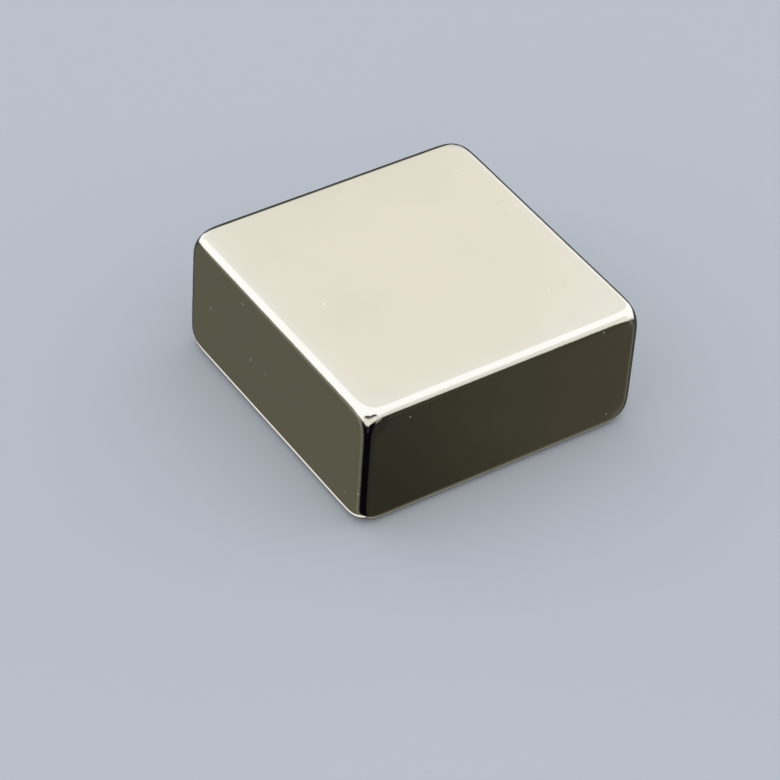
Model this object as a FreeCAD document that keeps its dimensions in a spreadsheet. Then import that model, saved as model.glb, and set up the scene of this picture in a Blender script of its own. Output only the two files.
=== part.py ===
"""Block magnet: a square slab of sintered neodymium alloy, plated with bright nickel.

The slab is pressed, sintered and ground flat, and then tumbled with stones. The stones round all its
edges alike, and they blunt the eight corners more, because they reach a corner from three sides. The
plating follows every surface and is a few hundredths of a millimetre thick, so the slab and its plating
are one solid.

The slab stands on one pole face. The origin is the centre of that face. +Z runs through the slab from
pole to pole, and X and Y run along its sides. All sizes are in millimetres.
"""

import FreeCAD
import Part
import os

import Sketcher

SIZES = {
    "width": (45.0, "along X, side face to side face"),
    "depth": (45.0, "along Y, side face to side face"),
    "thickness": (20.0, "along Z, pole face to pole face"),
    "edge_radius": (1.5, "round of all edges"),
    "corner_wear": (2.9, "how far along its three edges a corner is blunted, before the round"),
}

# How far the profile of a cut stands outside the slab, in millimetres.
OVERCUT = 1.0

ORIGIN_POINT = (-1, 1)


def add_sizes(doc):
    """The sheet of driving dimensions: a name, a number and a note on each row."""
    sheet = doc.addObject("Spreadsheet::Sheet", "sizes")
    for row, (name, (value, note)) in enumerate(SIZES.items(), start=1):
        sheet.set(f"A{row}", name)
        sheet.set(f"B{row}", str(value))
        sheet.set(f"C{row}", note)
        sheet.setAlias(f"B{row}", name)
    doc.recompute()
    return sheet


def add_sketch(body, name, role):
    """An empty sketch on one of the body's own origin planes."""
    plane = next(f for f in body.Origin.OriginFeatures if f.Role == role)
    sketch = body.newObject("Sketcher::SketchObject", name)
    sketch.AttachmentSupport = [(plane, "")]
    sketch.MapMode = "FlatFace"
    sketch.Visibility = False
    return sketch


def add_polygon(sketch, corners):
    """A closed run of lines through the corners. Hands back the number of its first line."""
    first = sketch.GeometryCount
    points = [FreeCAD.Vector(x, y, 0) for x, y in corners]
    for start, end in zip(points, points[1:] + points[:1]):
        sketch.addGeometry(Part.LineSegment(start, end), False)
    for line in range(len(points)):
        following = (line + 1) % len(points)
        sketch.addConstraint(Sketcher.Constraint("Coincident", first + line, 2, first + following, 1))
    return first


def bind(sketch, name, kind, points, value, expression):
    """A named distance from one point of the sketch to another. The expression drives it."""
    (start, start_end), (stop, stop_end) = points
    index = sketch.addConstraint(Sketcher.Constraint(kind, start, start_end, stop, stop_end, value))
    sketch.renameConstraint(index, name)
    if expression:
        sketch.setExpression(f"Constraints.{name}", expression)


def outline_sketch(body):
    """The slab's square outline on the lower pole face, centred on the origin."""
    sketch = add_sketch(body, "pole_face_outline", "XY_Plane")
    half_x = SIZES["width"][0] / 2
    half_y = SIZES["depth"][0] / 2
    add_polygon(sketch, [(-half_x, -half_y), (half_x, -half_y), (half_x, half_y), (-half_x, half_y)])
    for line in (0, 2):
        sketch.addConstraint(Sketcher.Constraint("Horizontal", line))
        sketch.addConstraint(Sketcher.Constraint("Vertical", line + 1))
    sketch.addConstraint(Sketcher.Constraint("Symmetric", 0, 1, 1, 2, *ORIGIN_POINT))
    bind(sketch, "width", "DistanceX", [(0, 1), (0, 2)], SIZES["width"][0], "sizes.width")
    bind(sketch, "depth", "DistanceY", [(1, 1), (1, 2)], SIZES["depth"][0], "sizes.depth")
    return sketch


def add_wear_triangle(sketch, side, end):
    """A right-angled triangle over one corner of the slab's view. Its long side blunts the corner.

    side is 1 on the right and -1 on the left. end is 1 at the upper pole face and -1 at the lower one.
    """
    half = (SIZES["width"][0] + SIZES["depth"][0]) / 2
    leg = SIZES["corner_wear"][0] + 2 * OVERCUT
    x = side * (half + OVERCUT)
    z = SIZES["thickness"][0] + OVERCUT if end > 0 else -OVERCUT
    first = add_polygon(sketch, [(x, z), (x - side * leg, z), (x, z - end * leg)])
    sketch.addConstraint(Sketcher.Constraint("Horizontal", first))
    sketch.addConstraint(Sketcher.Constraint("Vertical", first + 2))

    name = f"{'right' if side > 0 else 'left'}_{'upper' if end > 0 else 'lower'}"
    corner = (first, 1)
    wear = f"sizes.corner_wear + {2 * OVERCUT}"
    bind(sketch, f"{name}_run", "DistanceX", [(first, 2), corner][::side], leg, wear)
    bind(sketch, f"{name}_rise", "DistanceY", [(first + 2, 1), corner][::end], leg, wear)
    width = f"(sizes.width + sizes.depth) / 2 + {OVERCUT}"
    bind(sketch, f"{name}_x", "DistanceX", [ORIGIN_POINT, corner][::side], abs(x), width)
    height = f"sizes.thickness + {OVERCUT}" if end > 0 else None
    bind(sketch, f"{name}_z", "DistanceY", [ORIGIN_POINT, corner][::end], abs(z), height)


def wear_sketch(body):
    """The slab's view along a diagonal of its pole faces, with a triangle over each of its corners.

    Along a diagonal, a corner's place across the view is its x plus or minus its y. The view is so a
    rectangle as wide as width and depth together, and a plane that takes the same off all three edges
    of a corner is a line at 45 degrees. Both diagonals give the same view.
    """
    sketch = add_sketch(body, "corner_wear_profile", "XZ_Plane")
    for side in (1, -1):
        for end in (1, -1):
            add_wear_triangle(sketch, side, end)
    return sketch


def add_corner_wear(body, name, profile, diagonal):
    """A cut right through along one diagonal, which blunts the four corners of the other diagonal."""
    cut = body.newObject("PartDesign::Pocket", name)
    cut.Profile = profile
    cut.Type = "ThroughAll"
    cut.Midplane = True
    cut.UseCustomVector = True
    cut.Direction = FreeCAD.Vector(*diagonal)
    body.Document.recompute()
    return cut


def build_slab(doc):
    """The slab: its outline padded from pole to pole, its corners blunted, and all its edges rounded."""
    body = doc.addObject("PartDesign::Body", "magnet_block")
    body.Label = "magnet_block"
    slab = body.newObject("PartDesign::Pad", "ground_slab")
    slab.Profile = outline_sketch(body)
    slab.setExpression("Length", "sizes.thickness")
    doc.recompute()

    profile = wear_sketch(body)
    add_corner_wear(body, "blunt_corners_near_and_far", profile, (1, -1, 0))
    worn = add_corner_wear(body, "blunt_corners_left_and_right", profile, (-1, -1, 0))

    tumbled = body.newObject("PartDesign::Fillet", "tumbled_edges")
    tumbled.Base = (worn, ["Edge1"])
    tumbled.UseAllEdges = True
    tumbled.setExpression("Radius", "sizes.edge_radius")
    body.Tip = tumbled
    doc.recompute()
    return body


def check(doc, bodies):
    """Stops if a feature failed, or a sub-part is not one closed, valid solid."""
    for thing in doc.Objects:
        if "Invalid" in thing.State or "Error" in thing.State:
            raise RuntimeError(f"{thing.Label} failed: {thing.State}")
    for body in bodies:
        shape = body.Shape
        if shape.isNull() or not shape.isValid() or len(shape.Solids) != 1:
            raise RuntimeError(f"{body.Label} is not one valid solid")


def export(bodies):
    """Writes each sub-part to parts/, in a file named after its label."""
    os.makedirs("parts", exist_ok=True)
    for body in bodies:
        shape = body.Shape
        shape.exportStep(os.path.join("parts", f"{body.Label}.step"))
        box = shape.BoundBox
        print(f"{body.Label}: {box.XLength:.2f} x {box.YLength:.2f} x {box.ZLength:.2f} mm,")
        print(f"  volume {shape.Volume / 1000:.2f} cm3, area {shape.Area / 100:.2f} cm2,")
        print(f"  {len(shape.Faces)} faces, lowest point {box.ZMin:.3f} mm")


def main():
    doc = FreeCAD.newDocument("block_magnet")
    add_sizes(doc)
    bodies = [build_slab(doc)]
    check(doc, bodies)
    export(bodies)


main()
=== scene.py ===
# %% [markdown]
# # A block magnet in bright nickel
#
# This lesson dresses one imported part, a square block magnet, for a studio picture. The frame
# gives the block's place and size, and everything below is worked out from it.
#
# A mirror-bright block is a good lesson because it has almost no colour of its own. What the eye
# reads is its shape, as the shape bends the light around it. So the order is: a very exact
# surface, then a plating with small honest faults, then the room that it mirrors.

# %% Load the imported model
import math

import bpy
import numpy as np
from mathutils import Matrix, Vector


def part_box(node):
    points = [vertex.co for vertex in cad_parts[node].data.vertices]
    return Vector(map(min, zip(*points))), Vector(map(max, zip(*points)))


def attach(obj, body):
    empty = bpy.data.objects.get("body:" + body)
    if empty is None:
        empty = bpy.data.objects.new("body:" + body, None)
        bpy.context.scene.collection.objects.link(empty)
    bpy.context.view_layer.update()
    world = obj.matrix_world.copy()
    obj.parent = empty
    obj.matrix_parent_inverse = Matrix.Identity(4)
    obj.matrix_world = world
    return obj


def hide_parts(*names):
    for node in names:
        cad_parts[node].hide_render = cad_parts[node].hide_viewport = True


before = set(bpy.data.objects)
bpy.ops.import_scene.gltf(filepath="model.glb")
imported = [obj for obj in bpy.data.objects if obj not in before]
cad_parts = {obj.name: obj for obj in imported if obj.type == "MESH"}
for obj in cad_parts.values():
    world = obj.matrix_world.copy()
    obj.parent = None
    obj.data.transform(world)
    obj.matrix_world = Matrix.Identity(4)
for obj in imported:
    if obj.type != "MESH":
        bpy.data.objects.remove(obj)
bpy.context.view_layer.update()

# %% [markdown]
# ## The block's sizes
#
# On the real block, sintered alloy is ground flat and then tumbled with stones. Tumbling rounds
# all the edges a little, and it blunts the eight corners more than the edges, because the stones
# reach a corner from three sides.
#
# All sizes are in metres, like every Blender object in this frame. Until the mesh is made, places
# count from the middle of the block, which keeps the formulas the same on all sides.

# %% Sizes of the slab
MM = 0.001

low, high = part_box("magnet_block")
MIDDLE = np.array([(high[i] + low[i]) / 2 for i in range(3)])
HALF = np.array([(high[i] - low[i]) / 2 for i in range(3)])
FOOT = low[2]

EDGE_ROUND = 1.5 * MM
# A little more than a sharp cut takes, because this cut is soft.
CORNER_WEAR = 3.0 * MM
CORNER_SOFTNESS = 0.65 * MM
FACE_FALL = 0.02 * MM
FACE_FALL_REACH = 1.3 * MM

print("slab", np.round(2 * HALF / MM, 2), "mm")

# %% [markdown]
# ## Six sides, each a grid of two parameters
#
# The surface is worked out side by side. A side starts as a grid on the face of a sharp box, and
# the whole grid is then bent at once. The box face reaches as far as the diagonal of each edge,
# where the next side takes over, so the six grids meet along the diagonals.
#
# The steps are uneven on purpose. Over a round they are even in angle, which a tangent gives, and
# on the flat run they crowd a little towards the rounds, where the mirror is most easily fooled.
# Each grid also runs two steps beyond its own border. Slopes are taken from neighbours later, and
# so a point on the border has neighbours too.

# %% The sharp box as six grids
STEPS_TO_DIAGONAL = 16
STEPS_ALONG_RUN = (100, 100, 44)
STEPS_BEYOND = 2
CROWDING = 0.3


def axis_places(half, steps):
    """Places along one axis of the box face, from one border to the other.

    Over a round they are inner + round * tan(turn), with the turn in even steps up to 45 degrees.
    Over the flat run they are inner * (t * (1 + CROWDING) - CROWDING * t^3), with t from -1 to 1.
    """
    inner = half - EDGE_ROUND
    turn = np.arange(1, STEPS_TO_DIAGONAL + STEPS_BEYOND + 1) * (np.pi / 4) / STEPS_TO_DIAGONAL
    outer = inner + EDGE_ROUND * np.tan(turn)
    t = np.linspace(-1, 1, steps + 1)
    run = inner * (t * (1 + CROWDING) - CROWDING * t**3)
    return np.concatenate([-outer[::-1], run, outer])


def box_side(axis, end):
    """The box face across one axis, at its end +1 or -1, as an array of rows, columns and x y z.

    The other two axes follow in turn order, so that the row direction, the column direction and
    the way out are a right-handed set. At end -1 the rows run backwards, which keeps it so.
    """
    first, second = (axis + 1) % 3, (axis + 2) % 3
    rows = end * axis_places(HALF[first], STEPS_ALONG_RUN[first])
    columns = axis_places(HALF[second], STEPS_ALONG_RUN[second])
    grid = np.empty((len(rows), len(columns), 3))
    grid[..., axis] = end * HALF[axis]
    grid[..., first] = rows[:, None]
    grid[..., second] = columns[None, :]
    return grid


print("grid of a pole face", box_side(2, 1).shape, "and of a side", box_side(0, 1).shape)

# %% [markdown]
# ## Grinding, rounding and tumbling, as three small formulas
#
# Each function takes places and gives places, whole grids at a time.
#
# - Rounding: shrink the box by the radius, find the nearest place of the shrunken box, and go out
#   from there by the radius. On a flat that changes nothing, at an edge it draws a circle, and at
#   a corner it draws a ball.
# - Wear: a plane leans against each corner, and what stands out beyond it comes off. The change
#   is soft, so the blunt corner has no border. The worn patch is a triangle whose points run out
#   along the three edges.
# - Fall: a ground pole face drops by two hundredths of a millimetre towards each rim. That is far
#   too little to measure by eye and quite enough to see in the mirror.

# %% Bend the grids


def round_edges(grid):
    """core + EDGE_ROUND * (place - core) / its length, where core is the place held within the box
    that is smaller by EDGE_ROUND on every side."""
    core = np.clip(grid, EDGE_ROUND - HALF, HALF - EDGE_ROUND)
    out = grid - core
    return core + EDGE_ROUND * out / np.linalg.norm(out, axis=-1, keepdims=True)


def lower_rims(grid):
    """Draws z towards the middle by FACE_FALL * exp(-distance from the rim / reach), for the rims
    along x and along y. The fall shrinks with height, so it is nothing half way down the side."""
    distance = HALF[:2] - EDGE_ROUND - np.abs(grid[..., :2])
    fall = FACE_FALL * np.exp(-distance / FACE_FALL_REACH).sum(axis=-1)
    lowered = grid.copy()
    lowered[..., 2] *= 1 - fall / HALF[2]
    return lowered


def wear_corners(grid):
    """Takes a soft plane off each corner. With reach = |x| + |y| + |z|, the cut is
    softness * ln(1 + exp((reach - limit) / softness)), and a third of it comes off each axis."""
    limit = HALF.sum() - CORNER_WEAR
    cut = CORNER_SOFTNESS * np.logaddexp(0, (np.abs(grid).sum(axis=-1) - limit) / CORNER_SOFTNESS)
    return grid - np.sign(grid) * cut[..., None] / 3


SIDES = [(axis, end) for axis in range(3) for end in (1, -1)]
worn = [wear_corners(lower_rims(round_edges(box_side(*side)))) for side in SIDES]
ball = max(np.linalg.norm(grid, axis=-1).max() for grid in worn)
print(f"a corner is {(np.linalg.norm(HALF) - ball) / MM:.2f} mm short of the sharp box's corner")

# %% [markdown]
# ## Unevenness that a tumbled edge really has
#
# The ground faces are true to a thousandth of a millimetre. The rounds aren't: the stones leave
# them a little wavy, and the plating follows. A sum of many faint plane waves gives such a
# surface. Each wave has its own direction, length and phase, so the sum never repeats, and one
# array product works all of them out for every point at once.
#
# Tumbling only takes away. So the highest wave is taken off all the heights, and no point stands
# out of the size that the frame gives.

# %% Waves and true normals
WAVES = 28
EDGE_WAVE_HEIGHT = 0.0028 * MM
EDGE_WAVE_LENGTHS = (1.6 * MM, 3.6 * MM)
FACE_WAVE_HEIGHT = 0.0012 * MM
FACE_WAVE_LENGTHS = (9 * MM, 22 * MM)
# How fast the share of round grows as the surface leans away from a flat.
LEAN_GAIN = 14


def plane_waves(points, lengths, seed):
    """The sum of WAVES cosines of (2 pi * position along the wave / its length + phase).

    It is divided by the square root of half their number, so its typical height is 1.
    """
    chance = np.random.default_rng(seed)
    ways = chance.normal(size=(WAVES, 3))
    ways /= np.linalg.norm(ways, axis=1, keepdims=True)
    ways *= 2 * np.pi / chance.uniform(*lengths, size=(WAVES, 1))
    phases = chance.uniform(0, 2 * np.pi, WAVES)
    return np.cos(points @ ways.T + phases).sum(axis=-1) / math.sqrt(WAVES / 2)


def grid_normals(grid):
    """Unit normals: the cross product of the slopes along the rows and along the columns."""
    normals = np.cross(np.gradient(grid, axis=0), np.gradient(grid, axis=1))
    return normals / np.linalg.norm(normals, axis=-1, keepdims=True)


def edge_share(normals):
    """1 on the rounds, where the surface leans between two flats, and 0 on the flats: one minus
    the largest part of the normal, times LEAN_GAIN and held within 0 to 1."""
    return np.clip((1 - np.abs(normals).max(axis=-1)) * LEAN_GAIN, 0, 1)


def uneven_heights(grid, share):
    """Short waves on the rounds and long, lower ones on the flats."""
    edge = EDGE_WAVE_HEIGHT * plane_waves(grid, EDGE_WAVE_LENGTHS, seed=7)
    face = FACE_WAVE_HEIGHT * plane_waves(grid, FACE_WAVE_LENGTHS, seed=11)
    return share * edge + (1 - share) * face


def trim(grid):
    """The grid without its outermost rows and columns, whose slopes are one-sided."""
    return grid[1:-1, 1:-1]


leans = [grid_normals(grid) for grid in worn]
shares = [edge_share(normals) for normals in leans]
heights = [uneven_heights(grid, share) for grid, share in zip(worn, shares)]
highest = max(height.max() for height in heights)
moved = [grid + lean * (height - highest)[..., None] for grid, lean, height in zip(worn, leans, heights)]
moved = [trim(grid) for grid in moved]
normals = [trim(grid_normals(grid)) for grid in moved]
print(f"highest wave {highest / MM * 1000:.1f} thousandths of a millimetre")

# %% [markdown]
# ## From six grids to one closed mesh
#
# Neighbouring sides share the points along their common diagonal. Those points are found by their
# place, given one number and set to the mean of what the sides worked out, so the mesh is closed
# and has no seam. It gets the normals that the formulas gave, because a mirror shows the smallest
# error in a normal that was guessed from the faces around a point.

# %% The slab's mesh
SAME_PLACE = 1e-6 * MM


def grid_faces(rows, columns):
    """Corner numbers of the quads between neighbouring rows and columns, facing outwards."""
    row, column = np.meshgrid(np.arange(rows - 1), np.arange(columns - 1), indexing="ij")
    here = row * columns + column
    return np.stack([here, here + columns, here + columns + 1, here + 1], axis=-1).reshape(-1, 4)


def shared_means(values, number):
    """The mean of the values of all the grid points that have the same number."""
    total = np.zeros((number.max() + 1, values.shape[1]))
    np.add.at(total, number, values)
    return total / np.bincount(number)[:, None]


def flat_list(grids):
    """The points of all the grids, one after the other."""
    return np.concatenate([grid.reshape(-1, grid.shape[-1]) for grid in grids])


def slab_mesh(name):
    """The mesh of the whole slab, with its own normals and the share of round at each point."""
    places = flat_list([trim(trim(grid)) for grid in worn])
    _, number = np.unique(np.round(places / SAME_PLACE), axis=0, return_inverse=True)
    number = number.ravel()
    points = shared_means(flat_list([trim(grid) for grid in moved]), number) + MIDDLE
    directions = shared_means(flat_list(normals), number)
    directions /= np.linalg.norm(directions, axis=1, keepdims=True)
    share = shared_means(flat_list([trim(trim(grid))[..., None] for grid in shares]), number)
    counts = np.cumsum([0] + [grid.shape[0] * grid.shape[1] for grid in normals])
    quads = [grid_faces(*grid.shape[:2]) + start for grid, start in zip(normals, counts)]
    faces = number[np.concatenate(quads)]
    mesh = bpy.data.meshes.new(name)
    mesh.from_pydata(points.tolist(), [], faces.tolist())
    mesh.polygons.foreach_set("use_smooth", np.ones(len(faces), bool))
    mesh.normals_split_custom_set_from_vertices(directions.tolist())
    layer = mesh.attributes.new("edge_share", "FLOAT", "POINT")
    layer.data.foreach_set("value", share.ravel().astype(np.float32))
    return mesh


def add_object(name, mesh):
    """Puts a mesh into the scene as an object that sits at the origin, unturned and unscaled."""
    thing = bpy.data.objects.new(name, mesh)
    bpy.context.scene.collection.objects.link(thing)
    return thing


slab = add_object("plated_slab", slab_mesh("plated_slab"))
print("slab points", len(slab.data.vertices), "faces", len(slab.data.polygons))

# %% [markdown]
# ## Small helpers for node materials
#
# A procedural material is a little program drawn with nodes. Writing it in code reads best when
# each step is one call, so these helpers make a node, join what is given to its inputs and hand
# back its output.

# %% Node helpers


def join(tree, socket, value):
    """Joins an output to the socket, or sets a plain number or colour on it."""
    if isinstance(value, bpy.types.NodeSocket):
        tree.links.new(value, socket)
    else:
        socket.default_value = value


def maths(tree, operation, *values):
    """One Math node: the named operation on one, two or three numbers."""
    node = tree.nodes.new("ShaderNodeMath")
    node.operation = operation
    for socket, value in zip(node.inputs, values):
        join(tree, socket, value)
    return node.outputs[0]


def vector_maths(tree, operation, *values):
    """One Vector Math node. The result of a dot product or a length is its number output."""
    node = tree.nodes.new("ShaderNodeVectorMath")
    node.operation = operation
    for socket, value in zip(node.inputs, values):
        join(tree, socket, value)
    number = operation in ("DOT_PRODUCT", "LENGTH")
    return node.outputs["Value" if number else "Vector"]


def fade(tree, value, start, end, low=0.0, high=1.0):
    """A smooth step: low up to start, high from end on, and an S-shaped rise between them."""
    node = tree.nodes.new("ShaderNodeMapRange")
    node.interpolation_type = "SMOOTHSTEP"
    for socket, given in zip(node.inputs, (value, start, end, low, high)):
        join(tree, socket, given)
    return node.outputs[0]


def times(tree, *values):
    """The product of several numbers."""
    product = values[0]
    for value in values[1:]:
        product = maths(tree, "MULTIPLY", product, value)
    return product


def blend(tree, share, first, second):
    """A colour between two others: the first at share 0 and the second at share 1."""
    node = tree.nodes.new("ShaderNodeMix")
    node.data_type = "RGBA"
    join(tree, node.inputs["Factor"], share)
    colours = [socket for socket in node.inputs if socket.type == "RGBA"]
    join(tree, colours[0], first)
    join(tree, colours[1], second)
    return next(socket for socket in node.outputs if socket.type == "RGBA")


def noise(tree, where, size, detail=2.0):
    """Smooth noise from about 0 to 1, whose blotches are about the given size in metres."""
    node = tree.nodes.new("ShaderNodeTexNoise")
    join(tree, node.inputs["Vector"], where)
    node.inputs["Scale"].default_value = 1 / size
    node.inputs["Detail"].default_value = detail
    return node.outputs["Fac"]


# %% [markdown]
# ## Bright nickel plate
#
# Polished nickel mirrors about two thirds of the light, with a warm cast because it takes a little
# more of the blue. That is a metal with one base colour. What makes it look real is what is wrong
# with it: a tone that drifts by a percent or two, a breath of haze that is stronger on the worn
# edges, an orange peel too fine to see except in a reflected line, a coarser grain on the tumbled
# rounds, a few grains of dust and a few dull spots.
#
# Dust and spots have places of their own, in millimetres from the middle of the foot, and a half
# size along each axis. A long half size makes a short streak.

# %% The nickel finish
NICKEL = (0.66, 0.61, 0.526, 1.0)
NICKEL_CLOUD = (0.645, 0.598, 0.512, 1.0)
DUST = (0.8, 0.79, 0.76, 1.0)
DULL_SPOT = (0.5, 0.46, 0.4, 1.0)

# The faint clouds in the tone: how large they are, and which part of the noise shows.
CLOUD_SIZE = 14 * MM
CLOUD_RANGE = (0.35, 0.7)

# Haze, as the roughness of the mirror. A smear of fingers and cloths changes it by these factors.
FACE_HAZE = 0.035
EDGE_HAZE = 0.085
SMEAR_SIZE = 5 * MM
SMEAR_RANGE = (0.3, 0.75)
SMEAR_CHANGE = (0.7, 1.35)

# The orange peel everywhere and the grain of the rounds: how long and how high they are.
PEEL_SIZE = 1.1 * MM
PEEL_HEIGHT = 0.0009 * MM
EDGE_GRAIN_SIZE = 0.6 * MM
EDGE_GRAIN_HEIGHT = 0.009 * MM

# Dust and dull spots: how far they cover the nickel, and the haze that they add.
DUST_STRENGTH = 0.35
SPOT_STRENGTH = 0.6
MARK_HAZE = 0.5
# In half sizes of a mark: its soft rim, and a distance well beyond it.
MARK_RIM = (0.55, 1.3)
BEYOND_MARKS = 10.0

DUST_GRAINS = [
    ((-12.68, 6.27, 20.0), (0.11, 0.11, 0.3)),
    ((-12.40, 6.11, 20.0), (0.10, 0.10, 0.3)),
    ((-14.84, -0.04, 20.0), (0.17, 0.24, 0.3)),
    ((17.55, 15.49, 20.0), (0.10, 0.30, 0.3)),
    ((20.27, 4.82, 20.0), (0.10, 0.30, 0.3)),
    ((13.43, -12.67, 20.0), (0.10, 0.30, 0.3)),
    ((-22.5, 16.54, 10.2), (0.3, 0.12, 0.22)),
    ((-22.5, 8.35, 17.03), (0.3, 0.10, 0.20)),
    ((-22.5, 5.84, 8.85), (0.3, 0.12, 0.22)),
    ((-22.5, 2.06, 9.14), (0.3, 0.09, 0.14)),
    ((-22.5, -21.5, 5.79), (0.3, 0.12, 0.25)),
    ((-22.5, -18.68, 3.94), (0.3, 0.09, 0.12)),
    ((-15.51, -22.5, 17.33), (0.14, 0.3, 0.14)),
    ((15.90, -22.5, 18.60), (0.12, 0.3, 0.18)),
    ((18.15, -22.5, 2.79), (0.14, 0.3, 0.12)),
    ((22.5, -6.2, 12.4), (0.3, 0.13, 0.18)),
    ((22.5, 11.9, 6.1), (0.3, 0.10, 0.10)),
    ((-9.3, 22.5, 14.2), (0.12, 0.3, 0.20)),
    ((13.7, 22.5, 7.7), (0.10, 0.3, 0.11)),
]
DULL_SPOTS = [
    ((19.06, 6.53, 20.0), (0.16, 0.20, 0.3)),
    ((17.76, 3.91, 20.0), (0.14, 0.22, 0.3)),
    ((16.22, -12.54, 20.0), (0.18, 0.18, 0.3)),
    ((22.5, 3.1, 15.8), (0.3, 0.20, 0.22)),
    ((4.4, 22.5, 11.0), (0.18, 0.3, 0.25)),
]


def add_bump(tree, height, distance, below=None):
    """A Bump node: tips the normal by the slope of a height that is given in metres."""
    node = tree.nodes.new("ShaderNodeBump")
    node.inputs["Strength"].default_value = 1.0
    node.inputs["Distance"].default_value = distance
    join(tree, node.inputs["Height"], height)
    if below is not None:
        join(tree, node.inputs["Normal"], below)
    return node.outputs["Normal"]


def marks(tree, where, places):
    """1 on any of the marks and 0 off them, with a soft rim.

    A place is taken into each mark's own measure, (where - centre) / half size. Its length there
    is 1 on the mark's rim, and the shortest of all the lengths decides.
    """
    nearest = BEYOND_MARKS
    for centre, half in places:
        scale = Vector([1 / (size * MM) for size in half])
        shift = Vector([-c / h for c, h in zip(centre, half)]) - Vector((0, 0, FOOT)) * scale
        own = vector_maths(tree, "MULTIPLY_ADD", where, scale, shift)
        nearest = maths(tree, "MINIMUM", nearest, vector_maths(tree, "LENGTH", own))
    return fade(tree, nearest, *MARK_RIM, 1.0, 0.0)


def nickel_plate():
    """The plating of every surface of the block."""
    material = bpy.data.materials.new("bright_nickel")
    material.use_nodes = True
    tree = material.node_tree
    shader = tree.nodes["Principled BSDF"]
    where = tree.nodes.new("ShaderNodeTexCoord").outputs["Object"]
    attribute = tree.nodes.new("ShaderNodeAttribute")
    attribute.attribute_name = "edge_share"
    edge = attribute.outputs["Fac"]
    dust = times(tree, marks(tree, where, DUST_GRAINS), DUST_STRENGTH)
    spots = times(tree, marks(tree, where, DULL_SPOTS), SPOT_STRENGTH)

    cloud = fade(tree, noise(tree, where, CLOUD_SIZE), *CLOUD_RANGE)
    colour = blend(tree, cloud, NICKEL, NICKEL_CLOUD)
    colour = blend(tree, spots, colour, DULL_SPOT)
    join(tree, shader.inputs["Base Color"], blend(tree, dust, colour, DUST))
    join(tree, shader.inputs["Metallic"], maths(tree, "SUBTRACT", 1.0, dust))

    smear = noise(tree, where, SMEAR_SIZE, detail=4.0)
    haze = maths(tree, "MULTIPLY_ADD", edge, EDGE_HAZE - FACE_HAZE, FACE_HAZE)
    haze = times(tree, haze, fade(tree, smear, *SMEAR_RANGE, *SMEAR_CHANGE))
    haze = maths(tree, "MULTIPLY_ADD", maths(tree, "ADD", dust, spots), MARK_HAZE, haze)
    join(tree, shader.inputs["Roughness"], haze)

    peel = add_bump(tree, noise(tree, where, PEEL_SIZE), PEEL_HEIGHT)
    grain = times(tree, noise(tree, where, EDGE_GRAIN_SIZE, detail=3.0), edge)
    join(tree, shader.inputs["Normal"], add_bump(tree, grain, EDGE_GRAIN_HEIGHT, peel))
    return material


slab.data.materials.append(nickel_plate())
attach(slab, "root")
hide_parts("magnet_block")
print("finish", slab.data.materials[0].name)

# %% [markdown]
# ## The floor
#
# A pale floor that curves up into a wall all round, far from the block, has no horizon line from
# any side. It is one profile carried round a circle. The block doesn't mirror it: what a block
# mirrors is arranged apart, as a photographer does with cards and cloths, and a floor that showed
# in the sides would hide that.

# %% Floor and backdrop
FLOOR_REACH = 1.1
WALL_HEIGHT = 0.9
SWEEP_STEPS = 28
SWEEP_COLUMNS = 96
FLOOR_COLOUR = (0.36, 0.365, 0.375, 1.0)
FLOOR_ROUGHNESS = 0.9


def floor_mesh():
    """A disc whose rim turns up by a quarter circle, as a profile carried round the upright axis.

    The profile's first point is the middle of the disc, and its last column joins the first one.
    """
    turn = np.linspace(0, np.pi / 2, SWEEP_STEPS + 1)
    radius = np.concatenate([[0.0, FLOOR_REACH / 2], FLOOR_REACH + WALL_HEIGHT * np.sin(turn)])
    height = np.concatenate([[0.0, 0.0], WALL_HEIGHT * (1 - np.cos(turn))])
    angle = np.linspace(0, 2 * np.pi, SWEEP_COLUMNS + 1)
    x = radius[:, None] * np.cos(angle)
    y = radius[:, None] * np.sin(angle)
    z = np.broadcast_to(height[:, None], x.shape) + FOOT
    points = np.stack([x, y, z], axis=-1).reshape(-1, 3)
    faces = grid_faces(len(radius), SWEEP_COLUMNS + 1)
    mesh = bpy.data.meshes.new("floor")
    mesh.from_pydata(points.tolist(), [], faces.tolist())
    mesh.polygons.foreach_set("use_smooth", np.ones(len(faces), bool))
    return mesh


def floor_paint():
    """A matt, pale, slightly cool paint."""
    material = bpy.data.materials.new("floor_paint")
    material.use_nodes = True
    shader = material.node_tree.nodes["Principled BSDF"]
    shader.inputs["Base Color"].default_value = FLOOR_COLOUR
    shader.inputs["Roughness"].default_value = FLOOR_ROUGHNESS
    shader.inputs["Specular IOR Level"].default_value = 0.0
    return material


floor = add_object("floor", floor_mesh())
floor.data.materials.append(floor_paint())
floor.visible_glossy = False
floor.visible_shadow = False
print("floor reaches", FLOOR_REACH + WALL_HEIGHT, "m from the block")

# %% [markdown]
# ## The room that the block mirrors
#
# The block mirrors whole directions, so the room is a function of direction: which way in plan,
# and how high. Nothing of it stands in the scene. It is worked out in the nodes of the world, and
# every view of the block sees the same room.
#
# A piece of the room is a tone and a mask, and a mask is a product of simple ones: a sector in
# plan, a stretch of elevation, or a place on a card that faces the block. A sector is given by its
# centre, its half width and how soft its border is. Angles are in degrees, and in plan they count
# from +X towards +Y.

# %% Directions and masks
CARD_SIDE_LIMIT = 0.1


def unit_direction(plan, elevation):
    """The unit vector of a direction, from its plan angle and elevation in degrees."""
    a, e = math.radians(plan), math.radians(elevation)
    return Vector((math.cos(a) * math.cos(e), math.sin(a) * math.cos(e), math.sin(e)))


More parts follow.
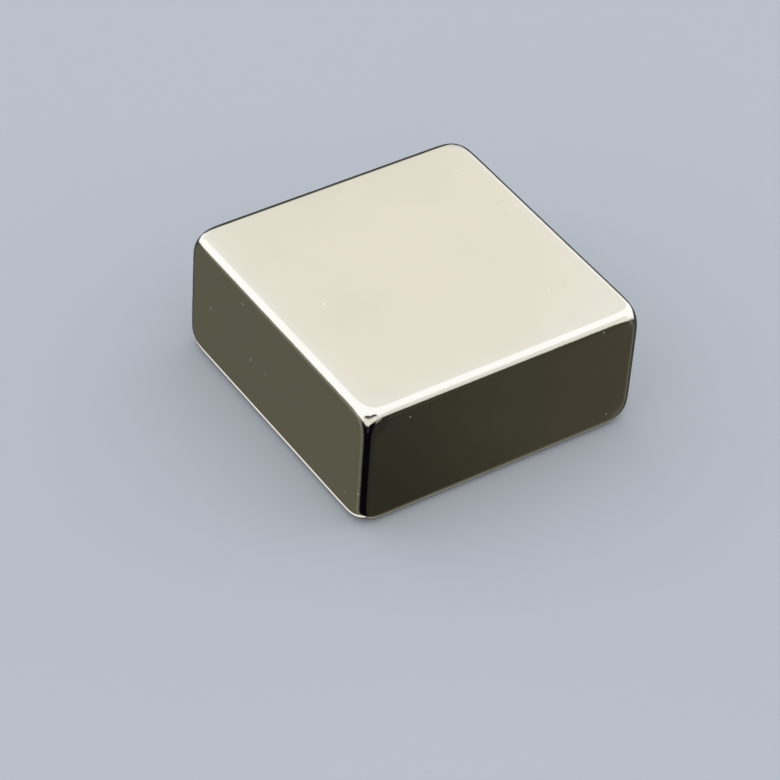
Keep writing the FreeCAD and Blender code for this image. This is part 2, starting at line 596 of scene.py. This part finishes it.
def sector(tree, plan_way, centre, half, soft):
    """1 within half degrees of the centre in plan, and 0 beyond, over a soft border.

    The dot product of two unit vectors is the cosine of the angle between them, so the border is
    a smooth step between two cosines.
    """
    nearness = vector_maths(tree, "DOT_PRODUCT", plan_way, unit_direction(centre, 0))
    outer = math.cos(math.radians(min(half + soft, 180)))
    inner = math.cos(math.radians(max(half - soft, 0)))
    return fade(tree, nearness, outer, inner)


def level(elevation):
    """The rise of a direction, which is the sine of its elevation in degrees."""
    return math.sin(math.radians(elevation))


def rising(tree, rise, start, end):
    """0 up to the first elevation and 1 from the second one on, in degrees."""
    return fade(tree, rise, level(start), level(end))


def falling(tree, rise, start, end):
    """1 up to the first elevation and 0 from the second one on, in degrees."""
    return fade(tree, rise, level(start), level(end), 1.0, 0.0)


def card_places(tree, way, plan, elevation):
    """Where a direction meets an upright card that faces the block from the given direction.

    The places are sideways, towards growing plan angles, and upwards on the card, in units of its
    distance. Behind the block they would come out mirrored, so the third number is 1 only on the
    card's own side.
    """
    facing = unit_direction(plan, elevation)
    side = Vector((0, 0, 1)).cross(facing).normalized()
    up = facing.cross(side)
    nearness = vector_maths(tree, "DOT_PRODUCT", way, facing)
    sideways = maths(tree, "DIVIDE", vector_maths(tree, "DOT_PRODUCT", way, side), nearness)
    upwards = maths(tree, "DIVIDE", vector_maths(tree, "DOT_PRODUCT", way, up), nearness)
    return sideways, upwards, maths(tree, "GREATER_THAN", nearness, CARD_SIDE_LIMIT)


print("straight up is", tuple(round(part, 3) for part in unit_direction(0, 90)))

# %% [markdown]
# ## The dark ground of the room
#
# Seen from the camera, the sides of the block mirror what lies below the horizon, so that is their
# colour: a dark, glossy ground. It is lighter on the left than on the right, and black in front of
# the near corner, which draws the black line down the block's upright edge. Near the horizon it
# mirrors the tent. At the far left a white cloth hangs down over it. Far below, where mostly the
# lowest rounds of the block look, it has tones of its own.

# %% The ground
TENT_WHITE = (1.51, 1.61, 1.775, 1.0)
GROUND_DARK = (0.068, 0.073, 0.07, 1.0)
BLACK = (0.004, 0.003, 0.006, 1.0)

# The ground's own tones, each with its sector. A later one lies over the earlier ones.
GROUND_TONES = [
    ((0.144, 0.146, 0.114, 1.0), (149, 38, 5)),
    ((0.195, 0.202, 0.168, 1.0), (165, 12, 9)),
    ((0.165, 0.171, 0.153, 1.0), (320, 12, 7)),
    ((0.085, 0.082, 0.06, 1.0), (300, 14, 3)),
    ((0.034, 0.035, 0.0295, 1.0), (284, 23, 5)),
    (BLACK, (228, 36, 8)),
]
# A paler window in the black: its tone, its sector, and the elevations of its foot and its top.
WINDOW_TONE = (0.036, 0.037, 0.034, 1.0)
WINDOW_SECTOR = (225, 7, 3)
WINDOW_FOOT = (-32, -28)
WINDOW_TOP = (-13, -9)
# What the ground mirrors, each with its sector and the elevations between which it comes in.
GROUND_MIRRORS = [
    ((0.3, 0.3, 0.272, 1.0), (157, 17, 9), (-42, -20)),
    ((0.073, 0.069, 0.05, 1.0), (306, 8, 5), (-39, -34)),
    (TENT_WHITE, (9, 16, 8), (-12.5, -8)),
    ((0.36, 0.36, 0.35, 1.0), (270, 9, 3), (-9, -3)),
]
# The cloth's sector, the plan angle that its lower edge climbs towards, how steeply it climbs, and
# between which heights over that slope the cloth comes in.
CLOTH_SECTOR = (99, 17.5, 7)
CLOTH_CLIMBS_TO = 170
CLOTH_SLOPE = 0.58
CLOTH_EDGE = (-0.4, -0.318)
# What lies far below, each with its sector and the elevations between which it goes out.
UNDER_TONES = [
    ((0.0405, 0.039, 0.029, 1.0), (304, 5, 4), (-43.5, -41.8)),
    ((0.12, 0.117, 0.102, 1.0), (320, 9, 5), (-44.5, -42)),
    ((0.36, 0.35, 0.27, 1.0), (20, 28, 12), (-60, -48)),
    ((1.2, 1.22, 1.2, 1.0), (90, 28, 5), (-47, -44)),
]


def window_share(tree, plan_way, rise):
    """1 in the window and 0 around it: its sector times its stretch of elevation."""
    stretch = times(tree, falling(tree, rise, *WINDOW_TOP), rising(tree, rise, *WINDOW_FOOT))
    return times(tree, sector(tree, plan_way, *WINDOW_SECTOR), stretch)


def cloth_share(tree, plan_way, rise):
    """1 on the hanging cloth, above its sloping edge, and 0 below the edge.

    The edge is where rise = slope * cos(plan angle - the angle it climbs to) + the middle of
    CLOTH_EDGE.
    """
    climb = vector_maths(tree, "DOT_PRODUCT", plan_way, unit_direction(CLOTH_CLIMBS_TO, 0))
    above = maths(tree, "MULTIPLY_ADD", climb, -CLOTH_SLOPE, rise)
    return times(tree, fade(tree, above, *CLOTH_EDGE), sector(tree, plan_way, *CLOTH_SECTOR))


def ground_light(tree, plan_way, rise):
    """The ground all round: its own tones, the window, what it mirrors, the cloth, and the tones
    far below, one over the other."""
    colour = GROUND_DARK
    for light, place in GROUND_TONES:
        colour = blend(tree, sector(tree, plan_way, *place), colour, light)
    colour = blend(tree, window_share(tree, plan_way, rise), colour, WINDOW_TONE)
    for light, place, limits in GROUND_MIRRORS:
        mask = times(tree, sector(tree, plan_way, *place), rising(tree, rise, *limits))
        colour = blend(tree, mask, colour, light)
    colour = blend(tree, cloth_share(tree, plan_way, rise), colour, TENT_WHITE)
    for light, place, limits in UNDER_TONES:
        mask = times(tree, sector(tree, plan_way, *place), falling(tree, rise, *limits))
        colour = blend(tree, mask, colour, light)
    return colour


print("tones of the ground", len(GROUND_TONES) + len(GROUND_MIRRORS) + len(UNDER_TONES))

# %% [markdown]
# ## The tent, the card and the camera
#
# A white tent stands over the block. Its near side is a little greyer up to eye height, which
# shades the lower half of the bright edge bands. On the far side hangs a cream card, and the upper
# pole face shows nothing else, so the card's tone is the colour of that whole face. Under the card
# it is dark, which draws the thin dark lines along the far edges.
#
# The camera mirrors itself in the blunt near corner, as a small black shape. It is a bar that lies
# level on the left, then bends, climbs to the right, grows thicker and fades out. Left and right
# are those of the picture.

# %% The tent
CREAM = (1.178, 1.194, 1.15, 1.0)
CARD_RIM = (1.222, 1.283, 1.318, 1.0)
UNDER_CARD = (0.08, 0.082, 0.075, 1.0)

# The near side's tones, each with its sector and the elevations between which it goes out.
NEAR_TONES = [
    ((1.07, 1.125, 1.155, 1.0), (284, 40, 14), (26.5, 47)),
    ((1.23, 1.265, 1.21, 1.0), (315, 11, 6), (18, 36)),
    ((1.19, 1.2, 1.21, 1.0), (224, 22, 8), (26, 36)),
]

# The card, in units of its distance. Its right border leans, and its foot is lower on the left.
# Two numbers for a border are where it starts and where it ends.
CARD_WAY = (54, 35)
CARD_SECTOR = (54, 49.5, 6)
CARD_LEAN = 0.35
CARD_RIGHT = (-0.45, -0.33)
CARD_TOP = (0.36, 0.6)
CARD_FOOT = (-0.17, -0.07)
LOWER_FOOT_FROM = (0.15, 0.4)
LOWER_FOOT_BY = 0.33

# Its cream middle: the way to it, and how many degrees off that way it has gone and is still full.
CREAM_WAY = (54, 38.5)
CREAM_SPREAD = (4.8, 0.8)

# The dark under the card lies below a line that climbs to the left, up to a leaning left border.
DARK_CLIMB = 0.93
DARK_TOP = (-0.42, 0.08)
DARK_LEAN = 0.69
DARK_LEFT = (0.0, 0.24)


def card_share(tree, sideways, upwards, plan_way):
    """1 on the card: within its leaning right border, under its top, over its foot and in its
    sector. The foot is compared with upwards plus a step that grows on the left."""
    right = maths(tree, "MULTIPLY_ADD", upwards, -CARD_LEAN, sideways)
    lower = fade(tree, sideways, *LOWER_FOOT_FROM, 0.0, LOWER_FOOT_BY)
    foot = fade(tree, maths(tree, "ADD", upwards, lower), *CARD_FOOT)
    top = fade(tree, upwards, *CARD_TOP, 1.0, 0.0)
    return times(tree, fade(tree, right, *CARD_RIGHT), top, foot, sector(tree, plan_way, *CARD_SECTOR))


def card_tone(tree, way):
    """Cream within a few degrees of the card's middle, and cooler around it."""
    nearness = vector_maths(tree, "DOT_PRODUCT", way, unit_direction(*CREAM_WAY))
    gone, full = (math.cos(math.radians(angle)) for angle in CREAM_SPREAD)
    return blend(tree, fade(tree, nearness, gone, full), CARD_RIM, CREAM)


def dark_share(tree, sideways, upwards):
    """1 where upwards is below climb * sideways + the top's offset, and right of the left border."""
    above = maths(tree, "MULTIPLY_ADD", sideways, -DARK_CLIMB, upwards)
    left = maths(tree, "MULTIPLY_ADD", upwards, DARK_LEAN, sideways)
    return times(tree, fade(tree, above, *DARK_TOP, 1.0, 0.0), fade(tree, left, *DARK_LEFT, 1.0, 0.0))


print("the card hangs at", CARD_WAY[0], "degrees in plan and", CARD_WAY[1], "degrees up")

# %% The camera's shape
CAMERA_WAY = (225, 33)
BAR_HEIGHT = -0.045
BAR_BEND = -0.075
BAR_CLIMB = 0.72
BAR_CLIMB_LENGTH = 0.34
BAR_THICKENING = 2.0
BAR_HALF = (0.034, 0.07)
BAR_LEFT_END = (-0.33, -0.25)
BAR_RIGHT_END = (0.26, 0.6)


def camera_shape(tree, way):
    """1 on the camera's dark bar. It lies on a card that faces the block from the camera's way.

    With past = how far the place is beyond the bend, held within 0 and the climb's length, its
    middle line is height + climb * past. Its thickness grows with 1 + thickening * past.
    """
    sideways, upwards, front = card_places(tree, way, *CAMERA_WAY)
    past = maths(tree, "MAXIMUM", maths(tree, "SUBTRACT", sideways, BAR_BEND), 0.0)
    past = maths(tree, "MINIMUM", past, BAR_CLIMB_LENGTH)
    middle = maths(tree, "MULTIPLY_ADD", past, BAR_CLIMB, BAR_HEIGHT)
    off = maths(tree, "ABSOLUTE", maths(tree, "SUBTRACT", upwards, middle))
    off = maths(tree, "DIVIDE", off, maths(tree, "MULTIPLY_ADD", past, BAR_THICKENING, 1.0))
    left_end = fade(tree, sideways, *BAR_LEFT_END)
    right_end = fade(tree, sideways, *BAR_RIGHT_END, 1.0, 0.0)
    return times(tree, fade(tree, off, *BAR_HALF, 1.0, 0.0), left_end, right_end, front)


def tent_light(tree, way, plan_way, rise):
    """The white tent with its greyer near side, the card, the dark under it and the camera."""
    colour = TENT_WHITE
    for light, place, limits in NEAR_TONES:
        near = times(tree, sector(tree, plan_way, *place), falling(tree, rise, *limits))
        colour = blend(tree, near, colour, light)
    sideways, upwards, front = card_places(tree, way, *CARD_WAY)
    card = times(tree, card_share(tree, sideways, upwards, plan_way), front)
    colour = blend(tree, card, colour, card_tone(tree, way))
    dark = times(tree, dark_share(tree, sideways, upwards), front)
    colour = blend(tree, dark, colour, UNDER_CARD)
    return blend(tree, camera_shape(tree, way), colour, BLACK)


print("the camera's bar is at", CAMERA_WAY[0], "degrees in plan and", CAMERA_WAY[1], "degrees up")

# %% [markdown]
# ## One room of ground and tent
#
# The ground and the tent meet in a soft horizon. It isn't level all round: the ground stands
# higher on both sides of the camera, where it reaches close to the tent, and drops in front of it.

# %% The horizon, and the whole room
HORIZON_RISE = 0.03
HORIZON_SOFTNESS = 0.11

# How much the horizon rises or drops, as the sine of an elevation, and in which sector.
HORIZON_STEPS = [
    (0.19, (192, 16, 18)),
    (0.29, (252, 28, 27)),
    (-0.3, (217.5, 8, 6)),
    (-0.07, (313, 9, 6)),
    (-0.045, (345, 7, 6)),
]


def horizon_share(tree, plan_way, rise):
    """0 on the ground and 1 in the tent: a smooth step in rise, around the horizon's own rise,
    which is HORIZON_RISE plus each step's amount in its sector."""
    edge = HORIZON_RISE
    for amount, place in HORIZON_STEPS:
        edge = maths(tree, "MULTIPLY_ADD", sector(tree, plan_way, *place), amount, edge)
    over = maths(tree, "SUBTRACT", rise, edge)
    return fade(tree, over, -HORIZON_SOFTNESS, HORIZON_SOFTNESS)


def build_room():
    """Fills the scene's world with the tent above and the ground below."""
    world = bpy.data.worlds.new("tent")
    bpy.context.scene.world = world
    world.use_nodes = True
    tree = world.node_tree
    way = tree.nodes.new("ShaderNodeTexCoord").outputs["Generated"]
    way = vector_maths(tree, "NORMALIZE", way)
    plan_way = vector_maths(tree, "NORMALIZE", vector_maths(tree, "MULTIPLY", way, (1, 1, 0)))
    rise = vector_maths(tree, "DOT_PRODUCT", way, (0, 0, 1))
    ground = ground_light(tree, plan_way, rise)
    tent = tent_light(tree, way, plan_way, rise)
    colour = blend(tree, horizon_share(tree, plan_way, rise), ground, tent)
    join(tree, tree.nodes["Background"].inputs["Color"], colour)


build_room()
bpy.context.scene.view_settings.view_transform = "Standard"
print("room nodes", len(bpy.context.scene.world.node_tree.nodes))

# %% [markdown]
# ## The camera
#
# The camera looks down on the near corner from the left, with a long lens from half a metre. Its
# place is given as a photographer would say it: the way to the camera in plan and elevation, the
# distance, how far the block sits off the middle of the picture, and the lens.

# %% The camera
# Angles are in degrees. The focal length is in pixels of a picture that is PICTURE pixels wide.
PICTURE = 780
FOCAL_PIXELS = 3416.7
CAMERA_AZIMUTH = -35.995
CAMERA_ELEVATION = 41.441
CAMERA_ROLL = -4.147
BLOCK_RIGHT = 2.36 * MM
BLOCK_DOWN = -1.576 * MM
BLOCK_AWAY = 481.315 * MM
SENSOR = 36.0
NEAREST_SEEN = 10 * MM


def add_camera():
    """The camera's axes come first: back towards it, its right and its up, then turned by the roll.

    Its place is where the foot's centre appears that far right, down and away.
    """
    a, e, roll = (math.radians(x) for x in (CAMERA_AZIMUTH, CAMERA_ELEVATION, CAMERA_ROLL))
    back = Vector((math.sin(a) * math.cos(e), -math.cos(a) * math.cos(e), math.sin(e)))
    across = Vector((math.cos(a), math.sin(a), 0))
    rise = back.cross(across)
    right = across * math.cos(roll) - rise * math.sin(roll)
    up = across * math.sin(roll) + rise * math.cos(roll)
    data = bpy.data.cameras.new("camera")
    data.sensor_width = SENSOR
    data.lens = FOCAL_PIXELS * SENSOR / PICTURE
    data.clip_start = NEAREST_SEEN
    camera = bpy.data.objects.new("camera", data)
    bpy.context.scene.collection.objects.link(camera)
    foot = Vector((MIDDLE[0], MIDDLE[1], FOOT))
    place = foot - right * BLOCK_RIGHT + up * BLOCK_DOWN + back * BLOCK_AWAY
    axes = Matrix((right, up, back)).transposed()
    camera.matrix_world = Matrix.Translation(place) @ axes.to_4x4()
    bpy.context.scene.camera = camera
    return camera


camera = add_camera()
print(f"lens {camera.data.lens:.1f} mm")
